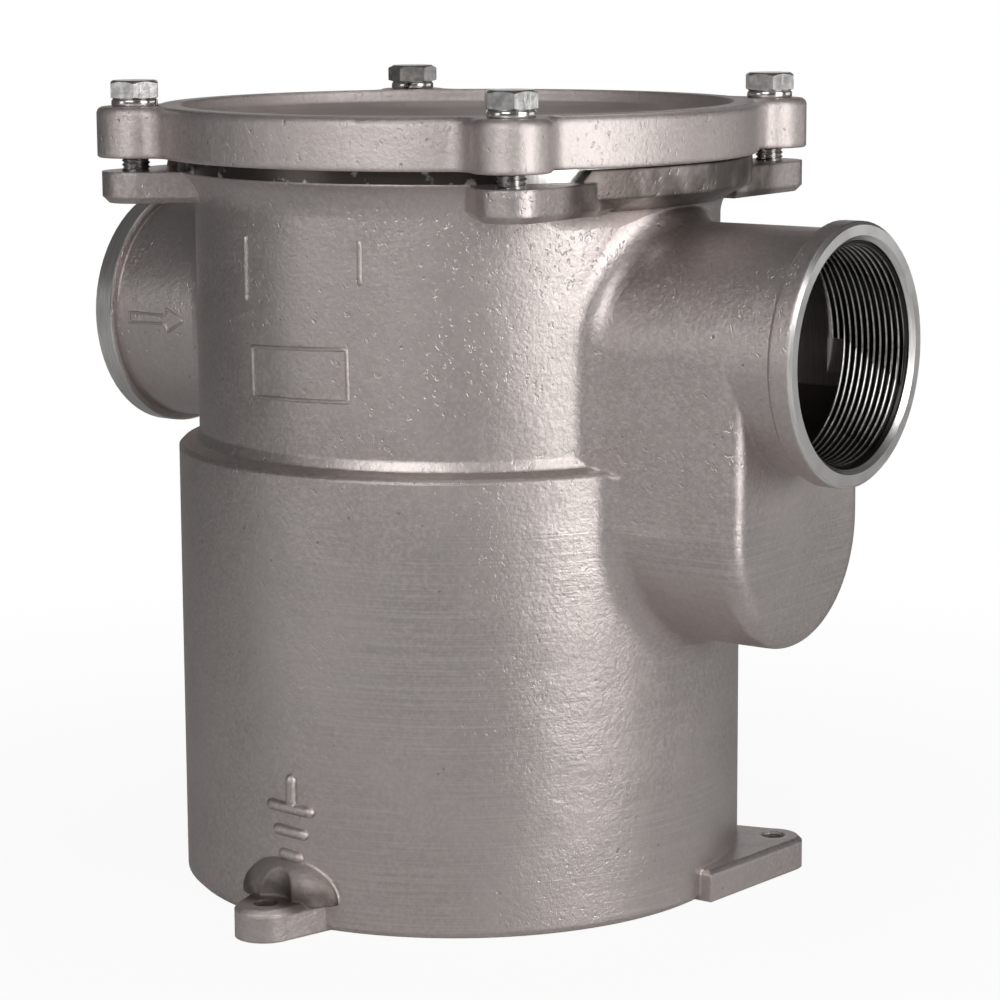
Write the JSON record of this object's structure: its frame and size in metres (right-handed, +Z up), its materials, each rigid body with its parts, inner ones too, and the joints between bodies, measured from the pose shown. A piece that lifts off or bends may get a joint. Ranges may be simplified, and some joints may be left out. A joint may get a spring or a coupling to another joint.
{
  "type": "seawater strainer",
  "caption": "Cast stainless seawater strainer: round pot with two in-line threaded ports, a bolted flat lid, feet and a lift-out perforated basket with a bail handle.",
  "frame": {"origin": "centre of the drum's flat underside, on the drum's axis", "axes": "+Z up the drum's axis, +X along the two ports' common axis towards the outlet port on the duct boss, +Y away from the single front foot"},
  "size_m": [0.2955, 0.2286, 0.2829],
  "materials": {
    "cast_stainless": "satin, as-cast and fettled",
    "machined_stainless": "bright turned",
    "lid_stainless": "satin, ground",
    "bolt_steel": "forged, semi-bright",
    "washer_steel": "polished",
    "black_rubber": "matte",
    "basket_sheet": "bright rolled sheet",
    "handle_wire": "drawn wire"
  },
  "bodies": {
    "body": {"body_casting": "cast_stainless", "lid_o_ring": "black_rubber", "basket_seat_gasket": "black_rubber"},
    "lid": {"lid": "lid_stainless"},
    "basket": {"basket_rim": "basket_sheet", "basket_screen": "basket_sheet", "basket_bottom": "basket_sheet", "basket_middle_band": "basket_sheet", "basket_lower_band": "basket_sheet", "basket_seam_strap": "basket_sheet", "handle_ear_front": "basket_sheet", "handle_ear_back": "basket_sheet"},
    "basket_handle": {"basket_handle": "handle_wire"},
    "washer_1": {"spring_washer_1": "washer_steel"},
    "bolt_1": {"lid_bolt_1": "bolt_steel"},
    "washer_2": {"spring_washer_2": "washer_steel"},
    "bolt_2": {"lid_bolt_2": "bolt_steel"},
    "washer_3": {"spring_washer_3": "washer_steel"},
    "bolt_3": {"lid_bolt_3": "bolt_steel"},
    "washer_4": {"spring_washer_4": "washer_steel"},
    "bolt_4": {"lid_bolt_4": "bolt_steel"}
  },
  "joints": [
    {"name": "lid_lift", "type": "slide", "parent": "body", "child": "lid", "axis": [0, 0, 1], "range_m": [0, 0.52]},
    {"name": "basket_lift", "type": "slide", "parent": "body", "child": "basket", "axis": [0, 0, 1], "range_m": [0, 0.26]},
    {"name": "handle_swing", "type": "hinge", "parent": "basket", "child": "basket_handle", "pos_m": [0, 0, 0.1605], "axis": [0, -1, 0], "range_deg": [0, 180]},
    {"name": "bolt_1_rise", "type": "slide", "parent": "lid", "child": "washer_1", "axis": [0, 0, 1], "range_m": [0, 0.0105]},
    {"name": "bolt_1_turn", "type": "hinge", "parent": "washer_1", "child": "bolt_1", "pos_m": [0.07955, -0.07955, 0.27], "axis": [0, 0, 1], "range_deg": [0, 2520]},
    {"name": "bolt_2_rise", "type": "slide", "parent": "lid", "child": "washer_2", "axis": [0, 0, 1], "range_m": [0, 0.0105]},
    {"name": "bolt_2_turn", "type": "hinge", "parent": "washer_2", "child": "bolt_2", "pos_m": [0.07955, 0.07955, 0.27], "axis": [0, 0, 1], "range_deg": [0, 2520]},
    {"name": "bolt_3_rise", "type": "slide", "parent": "lid", "child": "washer_3", "axis": [0, 0, 1], "range_m": [0, 0.0105]},
    {"name": "bolt_3_turn", "type": "hinge", "parent": "washer_3", "child": "bolt_3", "pos_m": [-0.07955, 0.07955, 0.27], "axis": [0, 0, 1], "range_deg": [0, 2520]},
    {"name": "bolt_4_rise", "type": "slide", "parent": "lid", "child": "washer_4", "axis": [0, 0, 1], "range_m": [0, 0.0105]},
    {"name": "bolt_4_turn", "type": "hinge", "parent": "washer_4", "child": "bolt_4", "pos_m": [-0.07955, -0.07955, 0.27], "axis": [0, 0, 1], "range_deg": [0, 2520]}
  ],
  "couplings": [
    {"joint": "basket_lift", "follows": "lid_lift", "ratio": 0.5},
    {"joint": "bolt_1_turn", "follows": "bolt_1_rise", "rad_per_m": 4188.8},
    {"joint": "bolt_2_turn", "follows": "bolt_2_rise", "rad_per_m": 4188.8},
    {"joint": "bolt_3_turn", "follows": "bolt_3_rise", "rad_per_m": 4188.8},
    {"joint": "bolt_4_turn", "follows": "bolt_4_rise", "rad_per_m": 4188.8}
  ]
}
